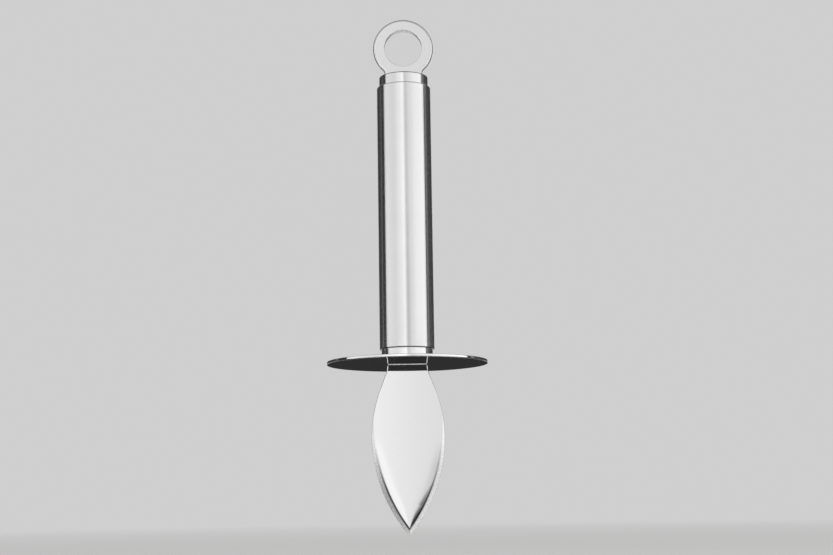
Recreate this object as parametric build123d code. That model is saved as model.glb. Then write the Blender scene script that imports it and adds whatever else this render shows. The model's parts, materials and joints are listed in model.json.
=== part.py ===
from build123d import *
import math
import os

# Oyster knife, hanging by the ring at the end of its handle.
# Millimetres. The origin is the centre of the ring's hole, +Z runs up along
# the knife, the blade's flat faces look along -Y and +Y, and the tip is lowest.

# Hanging ring: a flat plate with a round eye, a neck and a hidden shank
eye_diameter = 20.7
hole_diameter = 13.0
ring_thickness = 2.6
ring_neck_width = 13.0
ring_neck_fillet = 1.4
ring_edge_radius = 0.9
hole_edge_radius = 0.15
hole_to_cap = 10.5
ring_shank_width = 8.0
shank_past_pin = 3.5

# End cap: the narrow collar above the tube, with a spigot inside it
cap_diameter = 16.8
cap_height = 3.7
cap_edge_radius = 0.3
cap_spigot_length = 10.0

# Handle tube
tube_diameter = 18.5
tube_wall = 1.2
tube_length = 90.5
tube_top_radius = 0.5
tube_bottom_radius = 0.35

# Front ferrule: the collar between the tube and the guard, with its spigot
ferrule_diameter = 17.3
ferrule_height = 4.0
ferrule_edge_radius = 0.2
ferrule_spigot_length = 14.0

# Guard disc
guard_diameter = 54.0
guard_thickness = 0.95
guard_edge_radius = 0.25

# Blade below the guard: a short upright root, straight sides that flare out
# from it, then one arc above the widest point and one below it to the apex
blade_thickness = 2.5
blade_width = 24.2
root_length = 1.87
widest_below_guard = 24.1
apex_below_guard = 56.45
side_taper_angle = 20.6
upper_arc_radius = 44.0
flare_radius = 5.5
tip_radius = 1.1
shoulder_radius = 0.8
blade_edge_radius = 0.3

# Ground bevel: its border on each face is an arc inside the blade's outline
bevel_angle = 33.0
bevel_side_inset = 0.7
bevel_rise = 3.95
bevel_apex_inset = 2.05

# Tang, from the blade's shoulders up into the ferrule
tang_width = 8.0
tang_past_pin = 4.5

# Hidden cross pins
tang_pin_diameter = 3.0
ring_pin_diameter = 2.5

# Fits
spigot_clearance = 0.03
slot_clearance = 0.05
pin_clearance = 0.02
pin_end_clearance = 0.2
overrun = 1.0

# Heights of the faces where the pieces meet, from the ring down
cap_top = -hole_to_cap
tube_top = cap_top - cap_height
tube_bottom = tube_top - tube_length
guard_top = tube_bottom - ferrule_height
guard_underside = guard_top - guard_thickness

spigot_diameter = tube_diameter - 2 * tube_wall - 2 * spigot_clearance
ring_pin_height = tube_top - cap_spigot_length / 2
tang_pin_height = tube_bottom + ferrule_spigot_length / 2


def rod(diameter, bottom, top):
    """A solid cylinder on the knife's axis, between two heights."""
    length = top - bottom
    return Pos(0, 0, bottom + length / 2) * Cylinder(diameter / 2, length)


def bar(width, thickness, bottom, top):
    """A rectangular bar on the knife's axis, wide along X."""
    length = top - bottom
    return Pos(0, 0, bottom + length / 2) * Box(width, thickness, length)


def cross_pin(diameter, length, height):
    """A cylinder along Y through the knife's axis."""
    return Pos(0, 0, height) * Rot(X=90) * Cylinder(diameter / 2, length)


def slot_and_pin_hole(bar_width, bar_thickness, pin_diameter, pin_height):
    """What a spigot, a collar or the guard loses to a bar and its cross pin."""
    slot_width = bar_width + 2 * slot_clearance
    slot_thickness = bar_thickness + 2 * slot_clearance
    slot = bar(slot_width, slot_thickness, guard_underside - overrun, cap_top + overrun)
    hole_length = tube_diameter + 2 * overrun
    return slot + cross_pin(pin_diameter + 2 * pin_clearance, hole_length, pin_height)


def hanging_ring():
    neck_length = hole_to_cap
    neck = Pos(0, -neck_length / 2) * Rectangle(ring_neck_width, neck_length)
    outline = Circle(eye_diameter / 2) + neck
    corners = outline.vertices().sort_by(Axis.Y)[2:4]
    outline = fillet(corners, ring_neck_fillet)
    plate = extrude(Plane.XZ * outline, amount=ring_thickness / 2, both=True)
    sides = [plate.faces().sort_by(Axis.Y)[end] for end in (0, -1)]
    edges = [edge for side in sides for edge in side.edges().sort_by(Axis.Z)[1:]]
    plate = fillet(edges, ring_edge_radius) - cross_pin(hole_diameter, 2 * ring_thickness, 0)
    sides = [plate.faces().sort_by(Axis.Y)[end] for end in (0, -1)]
    hole_edges = [edge for side in sides for edge in side.inner_wires()[0].edges()]
    plate = fillet(hole_edges, hole_edge_radius)
    shank_bottom = ring_pin_height - shank_past_pin
    shank = bar(ring_shank_width, ring_thickness, shank_bottom, cap_top)
    pin_hole = cross_pin(ring_pin_diameter + 2 * pin_clearance, 2 * ring_thickness, ring_pin_height)
    return plate + shank - pin_hole


def end_cap():
    collar = rod(cap_diameter, tube_top, cap_top)
    collar = fillet(collar.edges().sort_by(Axis.Z)[-1], cap_edge_radius)
    body = collar + rod(spigot_diameter, tube_top - cap_spigot_length, tube_top)
    return body - slot_and_pin_hole(ring_shank_width, ring_thickness, ring_pin_diameter, ring_pin_height)


def handle_tube():
    tube = rod(tube_diameter, tube_bottom, tube_top)
    tube = fillet(tube.edges().sort_by(Axis.Z)[-1], tube_top_radius)
    tube = fillet(tube.edges().sort_by(Axis.Z)[0], tube_bottom_radius)
    bore = rod(tube_diameter - 2 * tube_wall, tube_bottom - overrun, tube_top + overrun)
    return tube - bore


def front_ferrule():
    collar = rod(ferrule_diameter, guard_top, tube_bottom)
    collar = fillet(collar.edges().sort_by(Axis.Z)[0], ferrule_edge_radius)
    body = collar + rod(spigot_diameter, tube_bottom, tube_bottom + ferrule_spigot_length)
    return body - slot_and_pin_hole(tang_width, blade_thickness, tang_pin_diameter, tang_pin_height)


def guard_disc():
    disc = rod(guard_diameter, guard_underside, guard_top)
    disc = fillet(disc.edges().filter_by(GeomType.CIRCLE), guard_edge_radius)
    return disc - slot_and_pin_hole(tang_width, blade_thickness, tang_pin_diameter, tang_pin_height)


def blade_outline():
    """The blade's face, drawn with the guard's underside at zero and the tip down."""
    widest = (blade_width / 2, -widest_below_guard)
    upper = JernArc(widest, (0, 1), upper_arc_radius, side_taper_angle)
    taper_end = upper @ 1
    narrowing = (-taper_end.Y - root_length) * math.tan(math.radians(side_taper_angle))
    flare = (taper_end.X - narrowing, -root_length)
    root = (flare[0], 0)
    side = Line(taper_end, flare)
    neck = Line(flare, root)
    lower = TangentArc(widest, (0, -apex_below_guard), tangent=(0, -1))
    half = [lower, upper, side, neck]
    other_half = [mirror(edge, about=Plane.YZ) for edge in half]
    top = Line(root, (-root[0], 0))
    outline = make_face(half + [top] + other_half)
    outline = fillet(outline.vertices().sort_by(Axis.Y)[-4:-2], flare_radius)
    outline = fillet(outline.vertices().sort_by(Axis.Y)[0], tip_radius)
    return fillet(outline.vertices().sort_by(Axis.Y)[-2:], shoulder_radius)


def bevel_limit(side):
    """Two cones back to back: all of the blade that one side's bevels leave.

    The border of the bevel on a face is an arc, upright at its widest point
    and ending on the axis, and the cone runs outward from it.
    """
    half_width = blade_width / 2 - bevel_side_inset
    widest = widest_below_guard - bevel_rise
    drop = apex_below_guard - bevel_apex_inset - widest
    radius = (drop ** 2 + half_width ** 2) / (2 * half_width)
    slope = math.tan(math.radians(bevel_angle))
    height = blade_thickness / 2 + overrun
    edge_radius = radius + blade_thickness / 2 / slope
    cone = Cone(edge_radius, radius - overrun / slope, height, align=(Align.CENTER, Align.CENTER, Align.MIN))
    place = Pos(side * (half_width - radius), 0, guard_underside - widest)
    return place * (Rot(X=90) * cone + Rot(X=-90) * cone)


def blade():
    outline = Pos(0, 0, guard_underside) * (Plane.XZ * blade_outline())
    body = extrude(outline, amount=blade_thickness / 2, both=True)
    sides = [body.faces().sort_by(Axis.Y)[end] for end in (0, -1)]
    edges = [edge for side in sides for edge in side.edges().sort_by(Axis.Z)[:-1]]
    body = fillet(edges, blade_edge_radius)
    for side in (-1, 1):
        body = body & bevel_limit(side)
    tang = bar(tang_width, blade_thickness, guard_underside, tang_pin_height + tang_past_pin)
    pin_hole = cross_pin(tang_pin_diameter + 2 * pin_clearance, 2 * blade_thickness, tang_pin_height)
    return body + tang - pin_hole


def hidden_pin(diameter, height):
    return cross_pin(diameter, spigot_diameter - 2 * pin_end_clearance, height)


pieces = {
    "hanging_ring": hanging_ring(),
    "ring_pin": hidden_pin(ring_pin_diameter, ring_pin_height),
    "end_cap": end_cap(),
    "handle_tube": handle_tube(),
    "front_ferrule": front_ferrule(),
    "tang_pin": hidden_pin(tang_pin_diameter, tang_pin_height),
    "guard_disc": guard_disc(),
    "blade": blade(),
}

os.makedirs("parts", exist_ok=True)
for name, piece in pieces.items():
    export_step(piece, f"parts/{name}.step")
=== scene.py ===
import json
import math

import bpy
import numpy as np
from bpy.props import FloatProperty, FloatVectorProperty, IntProperty, PointerProperty
from mathutils import Matrix, Vector


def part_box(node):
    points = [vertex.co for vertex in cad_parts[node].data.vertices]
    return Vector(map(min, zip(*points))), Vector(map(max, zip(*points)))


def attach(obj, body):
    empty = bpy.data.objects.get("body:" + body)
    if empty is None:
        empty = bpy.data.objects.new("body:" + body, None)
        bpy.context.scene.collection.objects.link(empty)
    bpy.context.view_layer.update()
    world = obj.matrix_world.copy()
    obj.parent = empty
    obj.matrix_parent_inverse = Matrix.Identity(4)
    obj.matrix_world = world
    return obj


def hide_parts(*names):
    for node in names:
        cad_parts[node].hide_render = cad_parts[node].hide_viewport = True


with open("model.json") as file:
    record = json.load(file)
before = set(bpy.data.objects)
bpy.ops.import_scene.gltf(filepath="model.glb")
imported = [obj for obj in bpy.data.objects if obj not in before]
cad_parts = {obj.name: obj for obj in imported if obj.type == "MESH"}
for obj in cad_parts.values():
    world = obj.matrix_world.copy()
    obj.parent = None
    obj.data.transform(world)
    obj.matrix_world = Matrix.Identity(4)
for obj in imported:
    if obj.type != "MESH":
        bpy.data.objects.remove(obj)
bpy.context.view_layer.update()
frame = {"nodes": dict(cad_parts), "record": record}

bl_info = {
    "name": "Oyster Knife",
    "version": (1, 0, 0),
    "blender": (4, 5, 0),
    "location": "View3D > Sidebar > Oyster Knife",
    "description": "Dresses a steel oyster knife and sets it in a pale studio",
    "category": "Object",
}

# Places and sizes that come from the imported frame, in metres
RING_LOW, RING_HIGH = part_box("hanging_ring")
CAP_LOW, CAP_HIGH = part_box("end_cap")
TUBE_LOW, TUBE_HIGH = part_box("handle_tube")
FERRULE_LOW, FERRULE_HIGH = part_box("front_ferrule")
GUARD_LOW, GUARD_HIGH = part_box("guard_disc")
BLADE_LOW, BLADE_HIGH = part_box("blade")
MOUNTS = {mount["name"]: mount for mount in frame["record"]["mounts"]}
HOLE_RADIUS = MOUNTS["hang_hole"]["dims"]["r_mm"] / 1000

# The photograph's frame, in pixels
FRAME_WIDTH = 833
FRAME_HEIGHT = 555

# Radius of an edge that is only just broken, and the width of the strips that keep flats flat
BROKEN_EDGE = 0.00002
HOLD = 0.00004
# Radius at which an edge is worn all over, and the angle in degrees from which an edge is sharp
WORN_EDGE = 0.0004
SHARP_ANGLE = 50
# Step between the points on the straight parts of the ring's outline
OUTLINE_STEP = 0.0004


# What the property groups are made of

def length_setting(name, description, default):
    """A length in metres."""
    return FloatProperty(
        name=name, description=description, default=default, unit="LENGTH", subtype="DISTANCE")


def angle_setting(name, description, degrees):
    """An angle, given in degrees and kept in radians."""
    return FloatProperty(
        name=name, description=description, default=math.radians(degrees), unit="ROTATION", subtype="ANGLE")


def share_setting(name, description, default, least=0):
    """A share between the least value and one."""
    return FloatProperty(
        name=name, description=description, default=default, min=least, max=1, subtype="FACTOR")


def color_setting(name, description, default):
    """A colour."""
    return FloatVectorProperty(
        name=name, description=description, default=default, size=3, min=0, max=1, subtype="COLOR")


class KnifeSizes(bpy.types.PropertyGroup):
    """Sizes that the frame's boxes don't give."""

    ring_neck_width: length_setting(
        "Ring neck width", "Width of the neck between the ring's eye and the end cap", 0.013)
    ring_neck_fillet: length_setting("Ring neck fillet", "Radius where the eye runs into its neck", 0.0014)
    ring_shank_width: length_setting(
        "Ring shank width", "Width of the shank that goes down through the end cap", 0.008)
    ring_edge_radius: length_setting("Ring edge radius", "Rounding of the ring's outer edge", 0.0009)
    hole_edge_radius: length_setting("Hole edge radius", "Rounding of the edge of the ring's hole", 0.00015)
    tube_wall: length_setting("Tube wall", "Wall thickness of the handle tube", 0.0012)
    tube_top_radius: length_setting("Tube top radius", "Rounding of the tube's edge at the end cap", 0.0005)
    tube_bottom_radius: length_setting(
        "Tube bottom radius", "Rounding of the tube's edge at the ferrule", 0.00035)
    cap_edge_radius: length_setting("Cap edge radius", "Rounding of the end cap's upper edge", 0.0003)
    ferrule_edge_radius: length_setting(
        "Ferrule edge radius", "Rounding of the ferrule's edge at the guard", 0.0002)
    guard_edge_radius: length_setting("Guard edge radius", "Rounding of the guard's rim", 0.00025)
    spigot_clearance: length_setting(
        "Spigot clearance", "Gap all round between a spigot and the tube", 0.00003)
    slot_clearance: length_setting("Slot clearance", "Gap on each side of a bar in its slot", 0.00005)
    tang_width: length_setting("Tang width", "Width of the tang above the blade's shoulders", 0.008)
    columns: IntProperty(
        name="Columns",
        description="How many columns of faces run round a turned piece",
        default=288, min=32)


class BladeShape(bpy.types.PropertyGroup):
    """The blade's outline and its ground bevel."""

    widest_drop: length_setting("Widest point", "How far below the guard the blade is widest", 0.0241)
    apex_drop: length_setting("Apex", "How far below the guard the two edges would meet", 0.05645)
    side_taper: angle_setting("Side taper", "Angle of the straight sides near the guard", 20.6)
    root_drop: length_setting(
        "Root", "How far below the guard the upright root and the straight side would meet", 0.00187)
    flare_radius: length_setting(
        "Flare radius", "Radius of the hollow where the root runs into the straight side", 0.0055)
    upper_arc_radius: length_setting(
        "Upper arc", "Radius of the outline between the straight side and the widest point", 0.044)
    tip_radius: length_setting("Tip radius", "Rounding of the tip, seen from the front", 0.0011)
    shoulder_radius: length_setting("Shoulder radius", "Rounding of the corners under the guard", 0.0008)
    edge_radius: length_setting(
        "Edge radius", "Rounding of the long edges where they aren't ground", 0.0003)
    root_fillet: length_setting(
        "Root fillet", "Radius of the solder line between the blade's faces and the guard", 0.0001)
    bevel_angle: angle_setting("Bevel angle", "Angle between the face and the ground bevel", 31)
    bevel_side_inset: length_setting(
        "Bevel side inset", "How far inside the widest point the bevel's border runs", 0.0007)
    bevel_rise: length_setting(
        "Bevel rise", "How far above the blade's widest point the bevel's border is widest", 0.00395)
    bevel_apex_inset: length_setting(
        "Bevel apex inset", "How far above the apex the two borders meet", 0.00205)
    roll_width: length_setting(
        "Roll width", "Width of the band inside the bevel that polishing has rounded over", 0.0033)
    roll_share_left: share_setting(
        "Left roll share", "Most of the face's half width that the left rounded band may take",
        0.55, least=0.05)
    roll_share_right: share_setting(
        "Right roll share", "Most of the face's half width that the right rounded band may take",
        0.75, least=0.05)
    roll_start_left: length_setting(
        "Left roll start", "How far below the guard the rounded band begins on the left", 0.005)
    roll_start_right: length_setting(
        "Right roll start", "How far below the guard the rounded band begins on the right", 0.022)
    roll_run_in: length_setting(
        "Roll run-in", "Length over which the rounded band comes to its full depth", 0.012)
    roll_depth: length_setting(
        "Roll depth", "How much thinner the rounded band is at the bevel's border", 0.0001)


class KnifeFinish(bpy.types.PropertyGroup):
    """Colours and roughness of the steel."""

    satin_color: color_setting(
        "Satin steel", "Colour of the turned handle and the end cap", (0.88, 0.88, 0.88))
    ring_color: color_setting("Ring steel", "Colour of the ring's satin plate", (0.78, 0.78, 0.78))
    ferrule_color: color_setting(
        "Ferrule steel", "Colour of the front ferrule, which is turned a little finer", (0.98, 0.98, 0.98))
    polished_color: color_setting(
        "Polished steel", "Colour of the guard and the blade's faces", (0.80, 0.80, 0.80))
    ground_color: color_setting("Ground steel", "Colour of the ground bevel", (0.74, 0.74, 0.74))
    plain_color: color_setting(
        "Plain steel", "Colour of the drawn rod that the hidden pins are made of", (0.62, 0.62, 0.62))
    turned_roughness: share_setting(
        "Turned roughness", "Roughness of the turned handle and its collars", 0.22)
    ring_roughness: share_setting("Ring roughness", "Roughness of the ring's satin faces", 0.3)
    polish_roughness: share_setting("Polish roughness", "Roughness of the polished guard and blade", 0.015)
    ground_roughness: share_setting("Ground roughness", "Roughness of the ground bevel", 0.34)


class StudioSettings(bpy.types.PropertyGroup):
    """The pale studio and the camera."""

    floor_color: color_setting("Floor colour", "Colour of the floor", (0.80, 0.80, 0.79))
    floor_drop: length_setting("Floor drop", "How far the floor lies under the tip", 0.07)
    lamp_power: FloatProperty(
        name="Lamp power",
        description="Power of each of the two soft lamps",
        default=14.0, min=0, unit="POWER")
    lamp_size: length_setting("Lamp size", "Side of each soft lamp", 1.2)
    lamp_distance: length_setting("Lamp distance", "How far the lamps stand from the knife", 1.6)
    camera_distance: length_setting(
        "Camera distance", "Depth of the guard's underside in front of the camera", 0.465)
    camera_pitch: angle_setting("Camera pitch", "How far the camera looks up", 9.0)
    camera_roll: angle_setting("Camera roll", "How far the camera is tilted clockwise", 0.87)
    focal_pixels: FloatProperty(
        name="Focal length in pixels",
        description="Focal length of the lens, in pixels of the photograph",
        default=1390.0, min=100)
    guard_pixel_x: FloatProperty(
        name="Guard across",
        description="Pixel column of the centre of the guard's underside",
        default=407.4)
    guard_pixel_y: FloatProperty(
        name="Guard down",
        description="Pixel row of the centre of the guard's underside",
        default=364.5)


# Meshes

def bending(grid, axis):
    """How sharply the rows or columns of a grid of points bend: the turn at a point over the step."""
    ahead = np.roll(grid, -1, axis=axis) - grid
    back = np.roll(ahead, 1, axis=axis)
    ahead_length = np.linalg.norm(ahead, axis=-1) + 1e-9
    back_length = np.linalg.norm(back, axis=-1) + 1e-9
    cosine = (ahead * back).sum(-1) / ahead_length / back_length
    return np.arccos(np.clip(cosine, -1, 1)) / (ahead_length + back_length) * 2


def surface_object(name, grid, closed_rows, marks=None):
    """Makes an object from a grid of points whose rows each close on themselves.

    Neighbouring points are joined by quads. Where the columns close too, the last row is
    joined to the first. Otherwise a fan of triangles to the mean of each end row closes the
    surface. The faces are turned so that the volume they enclose comes out positive. Each
    point is marked with how tight the edge is that it lies on: its section's bend there
    times a worn edge's radius, up to 1.
    """
    rows, columns, _ = grid.shape
    index = np.arange(rows * columns).reshape(rows, columns)
    beside = np.roll(index, -1, axis=1)
    below = np.roll(index, -1, axis=0)
    below_beside = np.roll(below, -1, axis=1)
    last = rows if closed_rows else rows - 1
    quads = np.stack([index, beside, below_beside, below], axis=-1)[:last].reshape(-1, 4)
    points = grid.reshape(-1, 3)
    bend = bending(grid, 0 if closed_rows else 1)
    marks = dict(marks or {}, edge=np.clip(bend * WORN_EDGE, 0, 1))
    marks = {key: value.reshape(-1) for key, value in marks.items()}
    fans = np.zeros((0, 3), int)
    if not closed_rows:
        first_pole, last_pole = len(points), len(points) + 1
        points = np.vstack([points, grid[0].mean(0), grid[-1].mean(0)])
        first_fan = np.stack([beside[0], index[0], np.full(columns, first_pole)], axis=-1)
        last_fan = np.stack([index[-1], beside[-1], np.full(columns, last_pole)], axis=-1)
        fans = np.vstack([first_fan, last_fan])
        marks = {key: np.append(value, value[[0, -1]]) for key, value in marks.items()}
    triangles = np.vstack([quads[:, [0, 1, 2]], quads[:, [0, 2, 3]], fans])
    a, b, c = (points[triangles[:, corner]] for corner in range(3))
    if np.einsum("ij,ij->i", a, np.cross(b, c)).sum() < 0:
        quads = quads[:, ::-1]
        fans = fans[:, ::-1]
    mesh = bpy.data.meshes.new(name)
    mesh.from_pydata(points.tolist(), [], quads.tolist() + fans.tolist())
    mesh.shade_smooth()
    mesh.set_sharp_from_angle(angle=math.radians(SHARP_ANGLE))
    for key, value in marks.items():
        mesh.attributes.new(key, "FLOAT", "POINT").data.foreach_set("value", value.astype(np.float32))
    piece = bpy.data.objects.new(name, mesh)
    bpy.context.scene.collection.objects.link(piece)
    return piece


def rounded_profile(corners, radii, closed, steps=7):
    """Turns a polyline into points with a round at each corner.

    Each corner gives way to an arc tangent to both of its sides: with the corner's half angle
    h, the arc starts radius / tan(h) from the corner, and its centre lies radius / sin(h) from
    it on the bisector. A point just outside each end of an arc keeps the shading of the
    straight stretches flat. An open polyline keeps its two end points.
    """
    corners = np.asarray(corners, float)
    radii = np.asarray(radii, float)
    ends = corners[[0, -1]]
    back = np.roll(corners, 1, axis=0) - corners
    ahead = np.roll(corners, -1, axis=0) - corners
    if not closed:
        corners, back, ahead = corners[1:-1], back[1:-1], ahead[1:-1]
    back /= np.linalg.norm(back, axis=1, keepdims=True)
    ahead /= np.linalg.norm(ahead, axis=1, keepdims=True)
    half = np.arccos(np.clip((back * ahead).sum(1), -1, 1)) / 2
    reach = (radii / np.tan(half))[:, None]
    bisector = back + ahead
    bisector /= np.linalg.norm(bisector, axis=1, keepdims=True)
    centre = corners + bisector * (radii / np.sin(half))[:, None]
    start = corners + back * reach
    end = corners + ahead * reach
    turn = (np.pi - 2 * half)[:, None, None]
    share = np.linspace(0, 1, steps)[None, :, None]
    from_start = np.sin((1 - share) * turn) * (start - centre)[:, None]
    from_end = np.sin(share * turn) * (end - centre)[:, None]
    arc = centre[:, None] + (from_start + from_end) / np.sin(turn)
    before = (start + back * HOLD)[:, None]
    after = (end + ahead * HOLD)[:, None]
    points = np.concatenate([before, arc, after], axis=1).reshape(-1, 2)
    return points if closed else np.vstack([ends[:1], points, ends[1:]])


def subdivided(corners, step):
    """A polyline with more points at even steps on each of its stretches."""
    stretches = [
        np.linspace(start, end, 1 + int(np.linalg.norm(end - start) / step), endpoint=False)
        for start, end in zip(corners, corners[1:])]
    return np.vstack([*stretches, corners[-1:]])


def revolved(profile, columns):
    """Carries a profile of (radius, height) round the knife's axis: one column for each angle."""
    angle = np.linspace(0, 2 * np.pi, columns, endpoint=False)
    radius, height = profile[:, :1], profile[:, 1:]
    return np.stack([radius * np.cos(angle), radius * np.sin(angle), height + 0 * angle], axis=-1)


def slotted(profile, slot_width, slot_thickness, columns):
    """A turned body with a rectangular slot along its axis.

    The profile runs from the body's one end round its outside to the other end. The slot's
    wall lies at each angle where a ray from the axis meets the rectangle: the lesser of half
    its width over the cosine and half its thickness over the sine.
    """
    angle = np.linspace(0, 2 * np.pi, columns, endpoint=False)
    reach = np.minimum(
        slot_width / 2 / np.maximum(np.abs(np.cos(angle)), 1e-6),
        slot_thickness / 2 / np.maximum(np.abs(np.sin(angle)), 1e-6))
    wall = [
        np.stack([reach * np.cos(angle), reach * np.sin(angle), np.full(columns, height)], axis=-1)
        for height in profile[[-1, 0], 1]]
    return np.concatenate([revolved(profile, columns), np.stack(wall)])


def dirt_and_painted_shade_mark(grid, corner, edge_radius, darkness):
    """Marks the rounded edge at a turned body's corner: its points lie within its radius of it."""
    out = np.hypot(grid[..., 0], grid[..., 1])
    away = np.hypot(out - corner[0], grid[..., 2] - corner[1])
    # The darkness paints shade into the colour, with dirt where the edge meets another part
    return np.where(away < edge_radius * 1.01, darkness, 0.0)


def inward_mitres(outline):
    """How far each point of a closed, anticlockwise outline moves when it is inset by one.

    With the unit normals m and n of the two sides that meet there, it is (m + n) / (1 + m.n).
    """
    run = np.roll(outline, -1, axis=0) - outline
    normal = np.stack([-run[:, 1], run[:, 0]], axis=-1) / np.linalg.norm(run, axis=1, keepdims=True)
    before = np.roll(normal, 1, axis=0)
    return (normal + before) / (1 + (normal * before).sum(1, keepdims=True))


def rounded_wall(thickness, edge_radius, steps=8):
    """A plate's wall from its front edge to its back edge: insets from the wall, and levels.

    There is a column for each edge radius. Each edge is a quarter circle: at turn t the point
    lies radius * (1 - sin t) inside the wall and radius * (1 - cos t) under the face.
    """
    turn = np.linspace(0, np.pi / 2, steps)[:, None]
    edge_radius = np.atleast_2d(edge_radius)
    upper = thickness / 2 + 0 * edge_radius
    inset = np.concatenate([edge_radius + HOLD, edge_radius * (1 - np.sin(turn)), 0 * edge_radius])
    level = np.concatenate([upper, upper - edge_radius * (1 - np.cos(turn)), upper - edge_radius - HOLD])
    return np.concatenate([inset, inset[::-1]])[..., None], np.concatenate([level, -level[::-1]])


def holed_plate(outer, inward, edge_radius, hole_radius, thickness, hole_edge_radius):
    """An upright plate with a round hole at the origin, from its outline in x and z.

    Each point of the outline has its own inward step and edge radius. The section at each
    column is a closed loop of two flat faces, the outer wall and the hole's wall. The hole's
    points lie on the rays from the origin to the outline's points.
    """
    insets, levels = rounded_wall(thickness, edge_radius)
    hole_insets, hole_levels = rounded_wall(thickness, hole_edge_radius + 0 * edge_radius)
    ray = outer / np.linalg.norm(outer, axis=1, keepdims=True)
    outer_rows = outer + inward * insets
    hole_rows = ray * (hole_radius + hole_insets)
    flat = np.concatenate([outer_rows, hole_rows[::-1]])
    across = np.concatenate([levels, hole_levels[::-1]])
    return np.stack([flat[..., 0], across, flat[..., 1]], axis=-1)


def ring_outline(sizes):
    """The ring's outline in x and z, anticlockwise from the shank's lower end.

    With it come each point's inward step and edge radius. A fillet's centre lies its radius
    outside the neck's side and outside the eye's circle. The edges of the shank and of the
    neck's underside are only broken, and the neck's lower corners are inset sideways alone.
    """
    eye = RING_HIGH.x
    neck = sizes.ring_neck_width / 2
    shank = sizes.ring_shank_width / 2
    fillet = sizes.ring_neck_fillet
    centre_x = neck + fillet
    centre_z = -math.sqrt((eye + fillet) ** 2 - centre_x ** 2)
    lean = math.atan2(centre_z, centre_x)
    flat_end = neck - sizes.ring_edge_radius - HOLD
    hidden = subdivided(np.array([
        (0, RING_LOW.z), (shank, RING_LOW.z), (shank, CAP_HIGH.z), (flat_end, CAP_HIGH.z)]), OUTLINE_STEP)
    side = subdivided(np.array([(neck, CAP_HIGH.z), (neck, centre_z)]), OUTLINE_STEP)
    turn = np.linspace(math.pi, math.pi + lean, 12)[1:]
    hollow = np.stack([centre_x + fillet * np.cos(turn), centre_z + fillet * np.sin(turn)], axis=-1)
    turn = np.linspace(lean, math.pi / 2, 140)[1:]
    arc = eye * np.stack([np.cos(turn), np.sin(turn)], axis=-1)
    right = np.concatenate([hidden, side, hollow, arc])
    left = right[-2:0:-1] * (-1, 1)
    outline = np.concatenate([right, left])
    inward = inward_mitres(outline)
    corners = [len(hidden), len(outline) - len(hidden)]
    inward[corners] = [(-1, 0), (1, 0)]
    edge_radius = np.full(len(outline), sizes.ring_edge_radius)
    edge_radius[:len(hidden)] = BROKEN_EDGE
    edge_radius[len(outline) - len(hidden) + 1:] = BROKEN_EDGE
    return outline, inward, edge_radius


# The blade as a surface

def lower_arc(shape):
    """The outline's arc from the widest point to the apex: its radius and its centre across."""
    rise = shape.apex_drop - shape.widest_drop
    radius = (rise ** 2 + BLADE_HIGH.x ** 2) / (2 * BLADE_HIGH.x)
    return radius, BLADE_HIGH.x - radius


def tip_centre(shape):
    """How far below the guard the round tip has its centre: it touches both lower arcs."""
    radius, centre = lower_arc(shape)
    return shape.widest_drop + math.sqrt((radius - shape.tip_radius) ** 2 - centre ** 2)


def blade_half_width(shape, drop):
    """Half the blade's width at each drop below the guard.

    From the guard down: a round at the shoulder, a short upright root, a hollow round that
    touches the root and the straight side, the side at its taper angle, an arc that is upright
    at the widest point, a second arc from there towards the apex, and the round tip.
    """
    widest = BLADE_HIGH.x
    taper = math.tan(shape.side_taper)
    along = shape.widest_drop - drop
    upper_centre = widest - shape.upper_arc_radius
    upper = upper_centre + np.sqrt(np.maximum(shape.upper_arc_radius ** 2 - along ** 2, 0))
    taper_end = shape.widest_drop - shape.upper_arc_radius * math.sin(shape.side_taper)
    taper_width = upper_centre + shape.upper_arc_radius * math.cos(shape.side_taper)
    straight = taper_width - (taper_end - drop) * taper
    root_width = taper_width - (taper_end - shape.root_drop) * taper
    reach = shape.flare_radius * math.tan(shape.side_taper / 2)
    flare_start = shape.root_drop - reach
    flare_end = shape.root_drop + reach * math.cos(shape.side_taper)
    fall = np.clip(drop - flare_start, 0, shape.flare_radius)
    hollow = root_width + shape.flare_radius - np.sqrt(shape.flare_radius ** 2 - fall ** 2)
    radius, centre = lower_arc(shape)
    lower = centre + np.sqrt(np.maximum(radius ** 2 - along ** 2, 0))
    width = np.where(along < 0, lower, np.where(drop < taper_end, straight, upper))
    width = np.where(drop < flare_end, hollow, width)
    corner = shape.shoulder_radius
    shoulder = root_width - corner + np.sqrt(np.maximum(corner ** 2 - (corner - drop) ** 2, 0))
    width = np.where(drop < corner, shoulder, width)
    tip_start = tip_centre(shape)
    tip = np.sqrt(np.maximum(shape.tip_radius ** 2 - (drop - tip_start) ** 2, 0))
    touch = shape.widest_drop + (tip_start - shape.widest_drop) * radius / (radius - shape.tip_radius)
    return np.where(drop > touch, tip, width)


def bevel_border(shape):
    """The arc that bounds the bevel on a face: its radius, its centre across and its centre's drop."""
    half_width = BLADE_HIGH.x - shape.bevel_side_inset
    centre_drop = shape.widest_drop - shape.bevel_rise
    rise = shape.apex_drop - shape.bevel_apex_inset - centre_drop
    radius = (rise ** 2 + half_width ** 2) / (2 * half_width)
    return radius, half_width - radius, centre_drop


def inside_border(shape, across, drop):
    """How far each place lies inside the bevel's border, less than zero on the bevel."""
    radius, centre_across, centre_drop = bevel_border(shape)
    return radius - np.hypot(np.abs(across) - centre_across, drop - centre_drop)


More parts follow.
